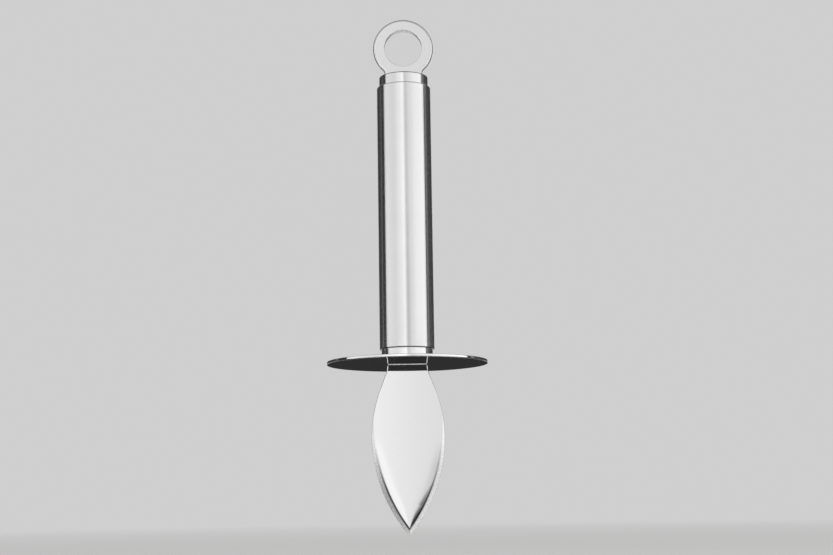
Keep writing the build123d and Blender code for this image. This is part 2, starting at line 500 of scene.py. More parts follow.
def blade_half_thickness(shape, across, drop):
    """Half the blade's thickness at each place.

    The face is flat. It sinks with the square of the distance into the rolled band inside the
    bevel's border, which narrows with the face towards the tip, and outside the border it
    falls along a cone at the bevel's angle. Under the guard a hollow fillet of radius r adds
    r - sqrt(r^2 - (r - drop)^2).
    """
    inside = inside_border(shape, across, drop)
    start = np.where(across > 0, shape.roll_start_right, shape.roll_start_left)
    fade = np.clip((drop - start) / shape.roll_run_in, 0, 1)
    face = np.maximum(inside_border(shape, 0 * drop, drop), 1e-6)
    most = np.where(across > 0, shape.roll_share_right, shape.roll_share_left)
    width = np.minimum(shape.roll_width, face * most)
    share = np.clip(1 - inside / width, 0, 1) * fade
    slope = math.tan(shape.bevel_angle)
    short = np.maximum(shape.root_fillet - drop, 0)
    fillet = shape.root_fillet - np.sqrt(shape.root_fillet ** 2 - short ** 2)
    fillet = np.where(drop < shape.root_fillet, fillet, 0)
    return BLADE_HIGH.y - shape.roll_depth * share ** 2 + np.minimum(inside, 0) * slope + fillet


def blade_rows(shape):
    """The drops of the blade's sections: close together at the tip and at the shoulders."""
    tip = tip_centre(shape) + shape.tip_radius
    near_tip = tip - shape.tip_radius * (1 - np.cos(np.linspace(0.03, np.pi / 2, 20)))
    body = np.linspace(near_tip[-1], shape.shoulder_radius * 2, 150)[1:]
    near_guard = shape.shoulder_radius * 2 * (1 - np.sin(np.linspace(0, np.pi / 2, 16)))[1:]
    return np.concatenate([near_tip, body, near_guard])[:, None]


def blade_grid(shape, tang_width):
    """The blade and its tang as rows of closed sections from the tip up, and each point's marks.

    A quarter of a section runs across the face, over the bevel and round the edge to the side.
    The edge's arc starts at the bevel's lean b and turns to upright: at turn t it lies
    radius * (sin t - sin b) further out and radius * (cos b - cos t) lower. The quarter is
    mirrored to the back and to the other side. The tang is the last section, narrowed.
    """
    drop = blade_rows(shape)
    width = blade_half_width(shape, drop)
    strip = np.minimum(HOLD, width * 0.05)
    radius, centre_across, centre_drop = bevel_border(shape)
    border = centre_across + np.sqrt(np.maximum(radius ** 2 - (drop - centre_drop) ** 2, 0))
    end_level = blade_half_thickness(shape, width, drop)
    edge = np.minimum(np.minimum(shape.edge_radius, end_level * 0.5), width * 0.3)
    border = np.clip(border, width * 0.1, width - edge - 3 * strip)
    lean = np.arctan2(blade_half_thickness(shape, width - edge - strip, drop) - end_level, edge + strip)
    bevel_end = width - edge * (1 - np.sin(lean))
    face_share = np.concatenate([np.linspace(0, 0.7, 6), np.linspace(0.75, 1, 12)])
    on_face = (border - strip) * face_share
    bevel_start = border + strip
    bevel_share = np.array([0, 0.25, 0.5, 0.75, 0.97, 1])
    on_bevel = bevel_start + (bevel_end - bevel_start) * bevel_share
    across = np.concatenate([on_face, border, on_bevel], axis=1)
    level = blade_half_thickness(shape, across, drop)
    turn = lean + (np.pi / 2 - lean) * np.linspace(0, 1, 7)[1:]
    edge_across = bevel_end + edge * (np.sin(turn) - np.sin(lean))
    edge_level = level[:, -1:] - edge * (np.cos(lean) - np.cos(turn))
    side_level = edge_level[:, -1:] * np.array([0.9, 0, -0.9])
    face_level = np.concatenate([level, edge_level], axis=1)
    face_across = np.concatenate([across, edge_across], axis=1)
    side_across = np.broadcast_to(edge_across[:, -1:], side_level.shape)
    half_across = np.concatenate([face_across, side_across, face_across[:, ::-1]], axis=1)
    half_level = np.concatenate([face_level, side_level, -face_level[:, ::-1]], axis=1)
    loop_across = np.concatenate([half_across, -half_across[:, -2:0:-1]], axis=1)
    loop_level = np.concatenate([half_level, half_level[:, -2:0:-1]], axis=1)
    height = np.broadcast_to(GUARD_LOW.z - drop, loop_across.shape)
    body = np.stack([loop_across, -loop_level, height], axis=-1)
    tang = np.repeat(body[-1:], 2, axis=0)
    tang[..., 0] *= tang_width / 2 / width[-1]
    tang[..., 1] = np.clip(tang[..., 1], BLADE_LOW.y, BLADE_HIGH.y)
    tang[1, :, 2] = BLADE_HIGH.z
    inside = inside_border(shape, loop_across, drop)
    ground = np.clip(-inside / HOLD, 0, 1)
    arc_place = np.arctan2(drop - centre_drop, np.abs(loop_across) - centre_across) * radius
    marks = {"ground": ground, "bevel_along": arc_place, "bevel_across": -inside}
    marks = {key: np.concatenate([value, value[[-1, -1]]]) for key, value in marks.items()}
    return np.concatenate([body, tang]), marks


# Shader nodes

def add_node(tree, kind, sockets=None, **settings):
    """Adds a node, sets its properties, and gives its input sockets their values or links."""
    node = tree.nodes.new("ShaderNode" + kind)
    for name, value in settings.items():
        setattr(node, name, value)
    for name, value in (sockets or {}).items():
        if isinstance(value, bpy.types.NodeSocket):
            tree.links.new(value, node.inputs[name])
        else:
            node.inputs[name].default_value = value
    return node


def calculate(tree, operation, *values):
    """Adds a Math node and gives its result."""
    return add_node(tree, "Math", dict(enumerate(values)), operation=operation).outputs[0]


def add_scaled(tree, total, value, factor):
    """Adds a value times a factor to a total."""
    return calculate(tree, "MULTIPLY_ADD", value, factor, total)


def remap(tree, value, low, high, to_low, to_high):
    """Maps a value from one range to another, and holds it there."""
    sockets = {"Value": value, "From Min": low, "From Max": high, "To Min": to_low, "To Max": to_high}
    return add_node(tree, "MapRange", sockets).outputs["Result"]


def noise(tree, vector, scale, detail=3.0, roughness=0.5):
    """Adds a noise texture and gives its value."""
    sockets = {"Vector": vector, "Scale": scale, "Detail": detail, "Roughness": roughness}
    return add_node(tree, "TexNoise", sockets).outputs["Fac"]


def stretched(tree, vector, stretch, turn=(0, 0, 0)):
    """Turns a vector and then stretches it."""
    turned = add_node(tree, "VectorRotate", {"Vector": vector, "Rotation": turn}, rotation_type="EULER_XYZ")
    return add_node(tree, "VectorMath", {0: turned.outputs[0], 1: stretch}, operation="MULTIPLY").outputs[0]


def tint(tree, color, shade):
    """Multiplies a colour by a shade."""
    mix = add_node(tree, "Mix", {0: 1.0, 6: color, 7: shade}, data_type="RGBA", blend_type="MULTIPLY")
    return mix.outputs[2]


def shared_group(name, inputs, outputs, fill):
    """Gives the node group of that name, built at its first use by fill(tree, inputs)."""
    tree = bpy.data.node_groups.get(name)
    if tree is None:
        tree = bpy.data.node_groups.new(name, "ShaderNodeTree")
        for socket, kind in inputs.items():
            tree.interface.new_socket(name=socket, in_out="INPUT", socket_type="NodeSocket" + kind)
        for socket in outputs:
            tree.interface.new_socket(name=socket, in_out="OUTPUT", socket_type="NodeSocketFloat")
        entry = tree.nodes.new("NodeGroupInput")
        leave = tree.nodes.new("NodeGroupOutput")
        for socket, value in fill(tree, entry.outputs).items():
            tree.links.new(value, leave.inputs[socket])
    return tree


def object_place(tree):
    """The place of a point in the knife's frame."""
    return add_node(tree, "TexCoord").outputs["Object"]


def fill_grain(tree, inputs):
    """Fine lines or specks: noise on stretched coordinates, centred on zero, times an amount."""
    place = add_node(
        tree, "VectorMath", {0: inputs["Place"], 1: inputs["Stretch"]}, operation="MULTIPLY").outputs[0]
    value = calculate(tree, "SUBTRACT", noise(tree, place, 1.0, 4.0, 0.65), 0.5)
    return {"Grain": calculate(tree, "MULTIPLY", value, inputs["Amount"])}


def fill_smudges(tree, inputs):
    """Broad soft patches where the surface is a little duller, from handling and wiping."""
    broad = noise(tree, object_place(tree), 70.0, 2.0)
    fine = noise(tree, object_place(tree), 420.0, 4.0, 0.6)
    broad_part = remap(tree, broad, 0.4, 0.68, 0.0, 0.7)
    fine_part = remap(tree, fine, 0.45, 0.8, 0.0, 0.3)
    both = calculate(tree, "ADD", broad_part, fine_part)
    return {"Smudge": calculate(tree, "MULTIPLY", both, inputs["Amount"])}


def fill_scratches(tree, inputs):
    """Sparse hairlines: the thin contour lines of two stretched noises, kept only in patches."""
    place = object_place(tree)
    lines = []
    for turn, stretch in (((0, 0.5, 0.3), (1500, 1500, 40)), ((0, -0.9, -0.2), (1100, 1100, 60))):
        value = noise(tree, stretched(tree, place, stretch, turn), 1.0, 1.0)
        off_contour = calculate(tree, "ABSOLUTE", calculate(tree, "SUBTRACT", value, 0.5))
        lines.append(remap(tree, off_contour, 0.0, inputs["Width"], 1.0, 0.0))
    patches = remap(tree, noise(tree, place, 260.0, 2.0), 0.5, 0.62, 0.0, 1.0)
    found = calculate(tree, "MULTIPLY", calculate(tree, "MAXIMUM", *lines), patches)
    return {"Scratch": calculate(tree, "MULTIPLY", found, inputs["Amount"])}


def fill_edge_wear(tree, inputs):
    """Edges rubbed bright: the mesh's own edge mark, broken up by noise."""
    edge = add_node(tree, "Attribute", attribute_name="edge").outputs["Fac"]
    broken = remap(tree, noise(tree, object_place(tree), 900.0, 3.0), 0.35, 0.6, 0.55, 1.0)
    worn = calculate(tree, "MULTIPLY", edge, broken)
    return {"Wear": calculate(tree, "MULTIPLY", worn, inputs["Amount"])}


def grain(tree, place, stretch, amount):
    """Places the grain group."""
    inputs = {"Place": "Vector", "Stretch": "Vector", "Amount": "Float"}
    group = shared_group("grain", inputs, ["Grain"], fill_grain)
    sockets = {"Place": place, "Stretch": stretch, "Amount": amount}
    return add_node(tree, "Group", sockets, node_tree=group).outputs["Grain"]


def smudges(tree, amount):
    """Places the smudges group."""
    group = shared_group("smudges", {"Amount": "Float"}, ["Smudge"], fill_smudges)
    return add_node(tree, "Group", {"Amount": amount}, node_tree=group).outputs["Smudge"]


def scratches(tree, width, amount):
    """Places the scratches group."""
    group = shared_group("scratches", {"Width": "Float", "Amount": "Float"}, ["Scratch"], fill_scratches)
    return add_node(tree, "Group", {"Width": width, "Amount": amount}, node_tree=group).outputs["Scratch"]


def edge_wear(tree, amount):
    """Places the edge wear group."""
    group = shared_group("edge wear", {"Amount": "Float"}, ["Wear"], fill_edge_wear)
    return add_node(tree, "Group", {"Amount": amount}, node_tree=group).outputs["Wear"]


def new_material(name):
    """An empty node material, its tree and its output node."""
    material = bpy.data.materials.new(name)
    material.use_nodes = True
    material.node_tree.nodes.clear()
    return material, material.node_tree, material.node_tree.nodes.new("ShaderNodeOutputMaterial")


# How much the grain, scratches, worn edges and seams change a steel's shade and roughness
GRAIN_SHADE = 0.35
GRAIN_ROUGHNESS = 0.25
SCRATCH_WIDTH = 0.012
SCRATCH_SHADE = 0.12
SCRATCH_ROUGHNESS = 0.2
SCRATCH_DEPTH = 0.04
WEAR_AMOUNT = 0.5
WEAR_SHADE = 0.12
WEAR_POLISH = 0.4
# Strength of the seam mark: painted shade with dirt, and a painted highlight where the mark is below zero
SEAM_DIRT_AND_PAINTED_LIGHT = 0.78
# Turned rings: how far they stretch a reflection, and the turn from round the axis to along it
TURNED_STRETCH = 0.95
QUARTER_TURN = 0.25


def steel(name, color, roughness, stretch, grain_amount, scratch_amount, bump, dulling=0.04, turned=False):
    """Steel with a grain, smudges, hairline scratches and edges rubbed bright.

    The grain shades the colour, roughens the surface and raises it. Scratches darken and
    roughen, smudges dull, and worn edges are brighter and smoother. The mesh's seam mark
    darkens an edge with painted shade, and with dirt where parts meet; where it is less than zero it paints
    a highlight.
    """
    material, tree, output = new_material(name)
    lines = grain(tree, object_place(tree), stretch, grain_amount)
    scratch = scratches(tree, SCRATCH_WIDTH, scratch_amount)
    wear = edge_wear(tree, WEAR_AMOUNT)
    # Seam mark: painted shade with dirt at the joints, painted shade on the guard's lower edge, a painted
    # highlight on its rim
    seam_dirt_and_painted_light = add_node(tree, "Attribute", attribute_name="seam_dirt_and_painted_light").outputs["Fac"]
    shade = add_scaled(tree, 1.0, lines, GRAIN_SHADE)
    shade = add_scaled(tree, shade, scratch, -SCRATCH_SHADE)
    shade = add_scaled(tree, shade, wear, WEAR_SHADE)
    shade = add_scaled(tree, shade, seam_dirt_and_painted_light, -SEAM_DIRT_AND_PAINTED_LIGHT)
    rough = add_scaled(tree, roughness, lines, GRAIN_ROUGHNESS)
    rough = calculate(tree, "ADD", rough, smudges(tree, dulling))
    rough = add_scaled(tree, rough, scratch, SCRATCH_ROUGHNESS)
    rough = add_scaled(tree, rough, wear, -roughness * WEAR_POLISH)
    height = add_scaled(tree, lines, scratch, -SCRATCH_DEPTH)
    normal = add_node(tree, "Bump", {"Strength": 1.0, "Distance": bump, "Height": height}).outputs[0]
    sockets = {
        "Base Color": tint(tree, (*color, 1), shade), "Metallic": 1.0, "Roughness": rough, "Normal": normal}
    if turned:
        tangent = add_node(tree, "Tangent", direction_type="RADIAL", axis="Z").outputs[0]
        sockets.update(
            {"Anisotropic": TURNED_STRETCH, "Anisotropic Rotation": QUARTER_TURN, "Tangent": tangent})
    shader = add_node(tree, "BsdfPrincipled", sockets)
    tree.links.new(shader.outputs[0], output.inputs["Surface"])
    return material


# The bevel's grain: how often it changes along and across the border, and what it changes
BEVEL_GRAIN = (5000, 260, 1)
BEVEL_GRAIN_SHADE = 0.3
BEVEL_GRAIN_ROUGHNESS = 0.15
# Where along the border the painted shade line sets in and is full, in metres towards the tip, how dark
# it gets, and its share on the right
PAINTED_BORDER_SHADE_START = 0.006
PAINTED_BORDER_SHADE_FULL = 0.021
PAINTED_BORDER_SHADE_DARKNESS = 0.95
PAINTED_BORDER_SHADE_SHARE_RIGHT = 0.75
# The painted shade line's middle lies this far inside the border, and it fades between the two distances
PAINTED_BORDER_SHADE_INSET = 0.0001
PAINTED_BORDER_SHADE_CORE = 0.0001
PAINTED_BORDER_SHADE_EDGE = 0.0005
# The bevel's upper end is this much lighter, and the darker ground takes over between the places
UPPER_BEVEL_SHADE = 1.25
UPPER_BEVEL_END = 0.004
LOWER_BEVEL_START = 0.014
# The blade's own scratches, wear, smudges and the height of its grain
BLADE_SCRATCH_WIDTH = 0.01
BLADE_SCRATCH_AMOUNT = 0.5
BLADE_SCRATCH_SHADE = 0.1
BLADE_SCRATCH_ROUGHNESS = 0.06
BLADE_SCRATCH_DEPTH = 0.01
BLADE_WEAR_AMOUNT = 0.6
BLADE_WEAR_SHADE = 0.08
BLADE_DULLING = 0.012
BLADE_BUMP = 0.000004


def blade_steel(finish):
    """Mirror steel on the faces, and a ground finish on the bevel.

    The bevel's grain runs across it, from the border to the edge: it is noise on the place
    along the border and the place across it. Towards the tip the bevel is ground a little
    darker, and a line of painted shade runs along its border, darker towards the tip and fainter on the
    right.
    """
    material, tree, output = new_material("blade_steel")
    ground = add_node(tree, "Attribute", attribute_name="ground").outputs["Fac"]
    along = add_node(tree, "Attribute", attribute_name="bevel_along").outputs["Fac"]
    across = add_node(tree, "Attribute", attribute_name="bevel_across").outputs["Fac"]
    bevel_place = add_node(tree, "CombineXYZ", {0: along, 1: across, 2: 0.0}).outputs[0]
    lines = calculate(tree, "MULTIPLY", grain(tree, bevel_place, BEVEL_GRAIN, 1.0), ground)
    scratch = scratches(tree, BLADE_SCRATCH_WIDTH, BLADE_SCRATCH_AMOUNT)
    wear = edge_wear(tree, BLADE_WEAR_AMOUNT)
    # Painted shade: a dark line along the bevel's border, darker towards the tip and fainter on the right
    towards_tip = remap(tree, along, PAINTED_BORDER_SHADE_START, PAINTED_BORDER_SHADE_FULL, 0.0, PAINTED_BORDER_SHADE_DARKNESS)
    aside = add_node(tree, "SeparateXYZ", {0: object_place(tree)}).outputs[0]
    side_share = remap(tree, aside, -0.0005, 0.0005, 1.0, PAINTED_BORDER_SHADE_SHARE_RIGHT)
    darkest = calculate(tree, "MULTIPLY", towards_tip, side_share)
    off_middle = calculate(tree, "ABSOLUTE", calculate(tree, "ADD", across, PAINTED_BORDER_SHADE_INSET))
    painted_border_shade = remap(tree, off_middle, PAINTED_BORDER_SHADE_CORE, PAINTED_BORDER_SHADE_EDGE, darkest, 0.0)
    shade = add_scaled(tree, 1.0, scratch, -BLADE_SCRATCH_SHADE)
    shade = add_scaled(tree, shade, lines, BEVEL_GRAIN_SHADE)
    shade = add_scaled(tree, shade, wear, BLADE_WEAR_SHADE)
    shade = calculate(tree, "SUBTRACT", shade, painted_border_shade)
    ground_shade = remap(tree, along, UPPER_BEVEL_END, LOWER_BEVEL_START, UPPER_BEVEL_SHADE, 1.0)
    ground_color = tint(tree, (*finish.ground_color, 1), ground_shade)
    colors = {0: ground, 6: (*finish.polished_color, 1), 7: ground_color}
    mixed = add_node(tree, "Mix", colors, data_type="RGBA").outputs[2]
    rough = remap(tree, ground, 0.0, 1.0, finish.polish_roughness, finish.ground_roughness)
    rough = calculate(tree, "ADD", rough, smudges(tree, BLADE_DULLING))
    rough = add_scaled(tree, rough, scratch, BLADE_SCRATCH_ROUGHNESS)
    rough = add_scaled(tree, rough, lines, BEVEL_GRAIN_ROUGHNESS)
    height = add_scaled(tree, lines, scratch, -BLADE_SCRATCH_DEPTH)
    normal = add_node(tree, "Bump", {"Strength": 1.0, "Distance": BLADE_BUMP, "Height": height}).outputs[0]
    sockets = {
        "Base Color": tint(tree, mixed, shade), "Metallic": 1.0, "Roughness": rough, "Normal": normal}
    shader = add_node(tree, "BsdfPrincipled", sockets)
    tree.links.new(shader.outputs[0], output.inputs["Surface"])
    return material


def dress(piece, node, material):
    """Gives a new piece its material and puts it in a CAD node's place."""
    piece.data.materials.append(material)
    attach(piece, "root")
    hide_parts(node)


def turned_steel(name, color, roughness):
    """Turned satin steel with fine rings round the knife's axis, built at its first use."""
    found = bpy.data.materials.get(name)
    return found or steel(name, color, roughness, (40, 40, 5200), 0.22, 0.2, 0.0000006, turned=True)


def spigot_radius(sizes):
    """Radius of the spigots that fill the tube's bore."""
    return TUBE_HIGH.x - sizes.tube_wall - sizes.spigot_clearance


# Operators

class MakeRing(bpy.types.Operator):
    """Makes the hanging ring with its neck and shank."""

    bl_idname = "oyster_knife.make_ring"
    bl_label = "Hanging ring"

    def execute(self, context):
        sizes = context.scene.knife_sizes
        finish = context.scene.knife_finish
        thickness = RING_HIGH.y - RING_LOW.y
        grid = holed_plate(*ring_outline(sizes), HOLE_RADIUS, thickness, sizes.hole_edge_radius)
        piece = surface_object("ring", grid, closed_rows=True)
        material = steel(
            "satin_plate", finish.ring_color, finish.ring_roughness, (2600, 2600, 2600), 0.2, 0.2, 0.000001)
        dress(piece, "hanging_ring", material)
        return {"FINISHED"}


# Painted shade, with dirt where parts meet, on the seams and the guard's lower edge, as shares of full
# dark: less than zero is a painted highlight on the guard's rim
CAP_TOP_DIRT_AND_PAINTED_SHADE = 1.2
TUBE_TOP_DIRT_AND_PAINTED_SHADE = 0.1
TUBE_BOTTOM_DIRT_AND_PAINTED_SHADE = 1.0
GUARD_RIM_PAINTED_HIGHLIGHT = -0.42
GUARD_LOWER_PAINTED_SHADE = 1.0


class MakeCollars(bpy.types.Operator):
    """Makes the end cap and the front ferrule, each a collar with a spigot and a slot."""

    bl_idname = "oyster_knife.make_collars"
    bl_label = "End cap and ferrule"

    def execute(self, context):
        sizes = context.scene.knife_sizes
        finish = context.scene.knife_finish
        spigot = spigot_radius(sizes)
        flat = sizes.ring_neck_width / 2
        cap = [
            (flat, CAP_HIGH.z), (CAP_HIGH.x, CAP_HIGH.z), (CAP_HIGH.x, TUBE_HIGH.z),
            (spigot, TUBE_HIGH.z), (spigot, CAP_LOW.z), (flat, CAP_LOW.z)]
        ferrule = [
            (flat, FERRULE_LOW.z), (FERRULE_HIGH.x, FERRULE_LOW.z), (FERRULE_HIGH.x, TUBE_LOW.z),
            (spigot, TUBE_LOW.z), (spigot, FERRULE_HIGH.z), (flat, FERRULE_HIGH.z)]
        ring_slot = (sizes.ring_shank_width, RING_HIGH.y - RING_LOW.y)
        tang_slot = (sizes.tang_width, BLADE_HIGH.y - BLADE_LOW.y)
        cap_steel = turned_steel("turned_steel", finish.satin_color, finish.turned_roughness)
        ferrule_steel = turned_steel("fine_turned_steel", finish.ferrule_color, finish.turned_roughness)
        collars = (
            ("cap", "end_cap", cap, sizes.cap_edge_radius, ring_slot, cap_steel, CAP_TOP_DIRT_AND_PAINTED_SHADE),
            ("ferrule", "front_ferrule", ferrule, sizes.ferrule_edge_radius, tang_slot, ferrule_steel, 0.0))
        for name, node, corners, edge_radius, slot, material, darkness in collars:
            profile = rounded_profile(corners, [edge_radius] + [BROKEN_EDGE] * 3, closed=False)
            width, thickness = (size + 2 * sizes.slot_clearance for size in slot)
            grid = slotted(profile, width, thickness, sizes.columns)
            # The cap's upper edge gets painted shade with dirt in its colour; the ferrule gets none
            marks = {"seam_dirt_and_painted_light": dirt_and_painted_shade_mark(grid, corners[1], edge_radius, darkness)}
            piece = surface_object(name, grid, closed_rows=True, marks=marks)
            dress(piece, node, material)
        return {"FINISHED"}


class MakeTube(bpy.types.Operator):
    """Makes the round handle tube."""

    bl_idname = "oyster_knife.make_tube"
    bl_label = "Handle tube"

    def execute(self, context):
        sizes = context.scene.knife_sizes
        outside = TUBE_HIGH.x
        bore = outside - sizes.tube_wall
        corners = [(outside, TUBE_LOW.z), (outside, TUBE_HIGH.z), (bore, TUBE_HIGH.z), (bore, TUBE_LOW.z)]
        radii = [sizes.tube_bottom_radius, sizes.tube_top_radius, BROKEN_EDGE, BROKEN_EDGE]
        grid = revolved(rounded_profile(corners, radii, closed=True), sizes.columns)
        # Painted shade with dirt on the tube's edge at the ferrule, and faintly on its edge at the cap
        lower_seam = dirt_and_painted_shade_mark(grid, corners[0], sizes.tube_bottom_radius, TUBE_BOTTOM_DIRT_AND_PAINTED_SHADE)
        upper_seam = dirt_and_painted_shade_mark(grid, corners[1], sizes.tube_top_radius, TUBE_TOP_DIRT_AND_PAINTED_SHADE)
        piece = surface_object("tube", grid, closed_rows=True, marks={"seam_dirt_and_painted_light": lower_seam + upper_seam})
        finish = context.scene.knife_finish
        material = turned_steel("turned_steel", finish.satin_color, finish.turned_roughness)
        dress(piece, "handle_tube", material)
        return {"FINISHED"}


class MakeGuard(bpy.types.Operator):
    """Makes the polished guard disc."""

    bl_idname = "oyster_knife.make_guard"
    bl_label = "Guard disc"

    def execute(self, context):
        sizes = context.scene.knife_sizes
        finish = context.scene.knife_finish
        flat = sizes.ring_neck_width / 2
        rim = GUARD_HIGH.x
        corners = [(flat, GUARD_HIGH.z), (rim, GUARD_HIGH.z), (rim, GUARD_LOW.z), (flat, GUARD_LOW.z)]
        profile = rounded_profile(corners, [sizes.guard_edge_radius] * 2, closed=False)
        slot_width = sizes.tang_width + 2 * sizes.slot_clearance
        slot_thickness = BLADE_HIGH.y - BLADE_LOW.y + 2 * sizes.slot_clearance
        grid = slotted(profile, slot_width, slot_thickness, sizes.columns)
        out = np.hypot(grid[..., 0], grid[..., 1])
        # Painted highlight along the guard's rim, and painted shade on its lower edge
        bright_rim = np.where(out > rim - sizes.guard_edge_radius / 2, GUARD_RIM_PAINTED_HIGHLIGHT, 0)
        dark_edge = dirt_and_painted_shade_mark(grid, corners[2], sizes.guard_edge_radius, GUARD_LOWER_PAINTED_SHADE)
        piece = surface_object("guard", grid, closed_rows=True, marks={"seam_dirt_and_painted_light": bright_rim + dark_edge})
        material = steel(
            "mirror_steel", finish.polished_color, finish.polish_roughness, (900, 900, 900), 0.05, 0.2,
            0.0000005, dulling=0.012)
        dress(piece, "guard_disc", material)
        return {"FINISHED"}


class MakeBlade(bpy.types.Operator):
    """Makes the bevelled blade with its tang."""

    bl_idname = "oyster_knife.make_blade"
    bl_label = "Blade"

    def execute(self, context):
        grid, marks = blade_grid(context.scene.blade_shape, context.scene.knife_sizes.tang_width)
        piece = surface_object("blade_and_tang", grid, closed_rows=False, marks=marks)
        dress(piece, "blade", blade_steel(context.scene.knife_finish))
        return {"FINISHED"}


class FinishPins(bpy.types.Operator):
    """Gives the two hidden cross pins their drawn steel."""

    bl_idname = "oyster_knife.finish_pins"
    bl_label = "Hidden pins"

    def execute(self, context):
        finish = context.scene.knife_finish
        material = steel(
            "drawn_steel", finish.plain_color, finish.ring_roughness, (3000, 80, 3000), 0.4, 0.2, 0.000002)
        for node in ("ring_pin", "tang_pin"):
            pin = frame["nodes"][node]
            pin.data.materials.clear()
            pin.data.materials.append(material)
        return {"FINISHED"}


# The studio

def azimuth_share(tree, vector):
    """Where a direction points round the knife: 0.5 to the front, more to the right of it."""
    axes = add_node(tree, "SeparateXYZ", {0: vector}).outputs
    angle = calculate(tree, "ARCTAN2", axes[0], calculate(tree, "MULTIPLY", axes[1], -1.0))
    return remap(tree, angle, -math.pi, math.pi, 0.0, 1.0)


def level_ramp(tree, value, stops):
    """Turns a share into a brightness with soft steps between the stops: (share, brightness)."""
    ramp = add_node(tree, "ValToRGB", {0: value})
    ramp.color_ramp.interpolation = "EASE"
    elements = ramp.color_ramp.elements
    elements[0].position = stops[0][0]
    elements[1].position = stops[-1][0]
    for place, _ in stops[1:-1]:
        elements.new(place)
    for element, (_, level) in zip(elements, stops):
        element.color = (level, level, level, 1)
    return ramp.outputs["Color"]


def turn_stops(stops):
    """Stops given in degrees round the knife, as shares of the full turn."""
    return [((degrees + 180) / 360, level) for degrees, level in stops]


# Brightness of the studio round the knife, by degrees to the right of the front, over BRIGHTEST
BRIGHTEST = 1.2
BACKDROP = 0.52
ROUND_STOPS = (
    (-180, BACKDROP), (-100, BACKDROP), (-88, 0.70), (-46, 0.64), (-17, 0.83), (-9, 0.93), (-1.9, 0.95),
    (-1.1, 0.82), (1.1, 0.75), (2.5, 0.68), (6, 0.60), (18, 0.70), (60, 0.84), (88, 0.90), (100, BACKDROP),
    (180, BACKDROP))
# Brightness by height: sines of the elevation
HIGH_STOPS = ((0.0, 1.0), (0.45, 1.0), (0.7, 0.5), (1.0, 0.4))
# Radiance of the dark flags behind the knife
FLAG_STOPS = (
    (-180, 0.03), (-130, 0.04), (-121, 0.05), (-116, 0.16), (-111, 0.02), (-93, 0.02), (93, 0.04),
    (98, 0.04), (104, 0.26), (110, 0.07), (130, 0.05), (180, 0.03))
# Dark flags and pale cards that only reflections show, on uprights round the knife or just above
# the floor. Each has two distances from the knife's axis, two angles to the right of the front in
# degrees, two heights, its radiance, and the shares of its rows and columns over which its cover
# comes in from each border: first and last row, first and last column
HARD = (0, 0, 0, 0)
SOFT = (0.25, 0.25, 0.17, 0.17)
FLAGS = {
    "flag_behind_right": ((1.0, 1.0), (93, 160), (-0.232, 0.7), FLAG_STOPS, HARD),
    "flag_behind_left": ((1.0, 1.0), (200, 267), (-0.232, 0.7), FLAG_STOPS, HARD),
    "flag_behind_low": ((1.0, 1.0), (172, 188), (-0.232, -0.14), 0.03, (0, 0.3, 0, 0)),
    "flag_floor_ahead": ((0.9, 1.7), (-2.6, 1.6), (-0.234, -0.234), 0.03, HARD),
    "flag_floor_right": ((0.25, 3.6), (1.3, 18), (-0.233, -0.233), 0.06, (0.05, 0.75, 0.14, 0.2)),
    "flag_near_ahead": ((0.05, 0.5), (-40, 40), (-0.2325, -0.2325), 0.14, SOFT),
    "flag_near_left": ((0.07, 0.4), (-85, -25), (-0.232, -0.232), 0.3, SOFT),
    "flag_side_left": ((0.05, 0.6), (-160, -87), (-0.2325, -0.2325), 0.05, (0.1, 0.1, 0.1, 0.02)),
    "flag_side_right": ((0.05, 0.6), (87, 160), (-0.2325, -0.2325), 0.05, (0.1, 0.1, 0.02, 0.1)),
    "card_floor_left": ((0.42, 1.4), (-86, -22), (-0.2335, -0.2335), 1.25, (0.25, 0.25, 0.05, 0.2)),
    "card_floor_right": ((0.42, 1.4), (22, 86), (-0.2315, -0.2315), 1.1, (0.25, 0.25, 0.2, 0.05)),
    "card_near_right": ((0.08, 0.4), (42, 84), (-0.231, -0.231), 1.0, SOFT),
}


def studio_world(scene):
    """A pale studio: brightness by azimuth times brightness by elevation.

    The camera itself sees only the plain backdrop.
    """
    world = bpy.data.worlds.new("studio")
    world.use_nodes = True
    tree = world.node_tree
    tree.nodes.clear()
    direction = add_node(tree, "TexCoord").outputs["Generated"]
    round_level = level_ramp(tree, azimuth_share(tree, direction), turn_stops(ROUND_STOPS))
    up = add_node(tree, "SeparateXYZ", {0: direction}).outputs[2]
    high_level = level_ramp(tree, up, HIGH_STOPS)
    color = tint(tree, round_level, high_level)
    seen = add_node(tree, "LightPath").outputs["Is Camera Ray"]
    plain = (BACKDROP, BACKDROP, BACKDROP, 1)
    color = add_node(tree, "Mix", {0: seen, 6: color, 7: plain}, data_type="RGBA").outputs[2]
    background = add_node(tree, "Background", {"Color": color, "Strength": BRIGHTEST})
    output = tree.nodes.new("ShaderNodeOutputWorld")
    tree.links.new(background.outputs[0], output.inputs["Surface"])
    scene.world = world


def stage_object(name, points, quads):
    """Makes a mesh object that isn't part of the knife."""
    mesh = bpy.data.meshes.new(name)
    mesh.from_pydata(points.tolist(), [], quads.tolist())
    mesh.shade_smooth()
    made = bpy.data.objects.new(name, mesh)
    bpy.context.scene.collection.objects.link(made)
    return made


def coming_in(count, first, last):
    """The cover along a row of points: nothing at its ends, all of it after a share of the row."""
    place = np.linspace(0, 1, count)
    from_first = np.clip(place / first, 0, 1) if first else 1
    from_last = np.clip((1 - place) / last, 0, 1) if last else 1
    return from_first * from_last + 0 * place


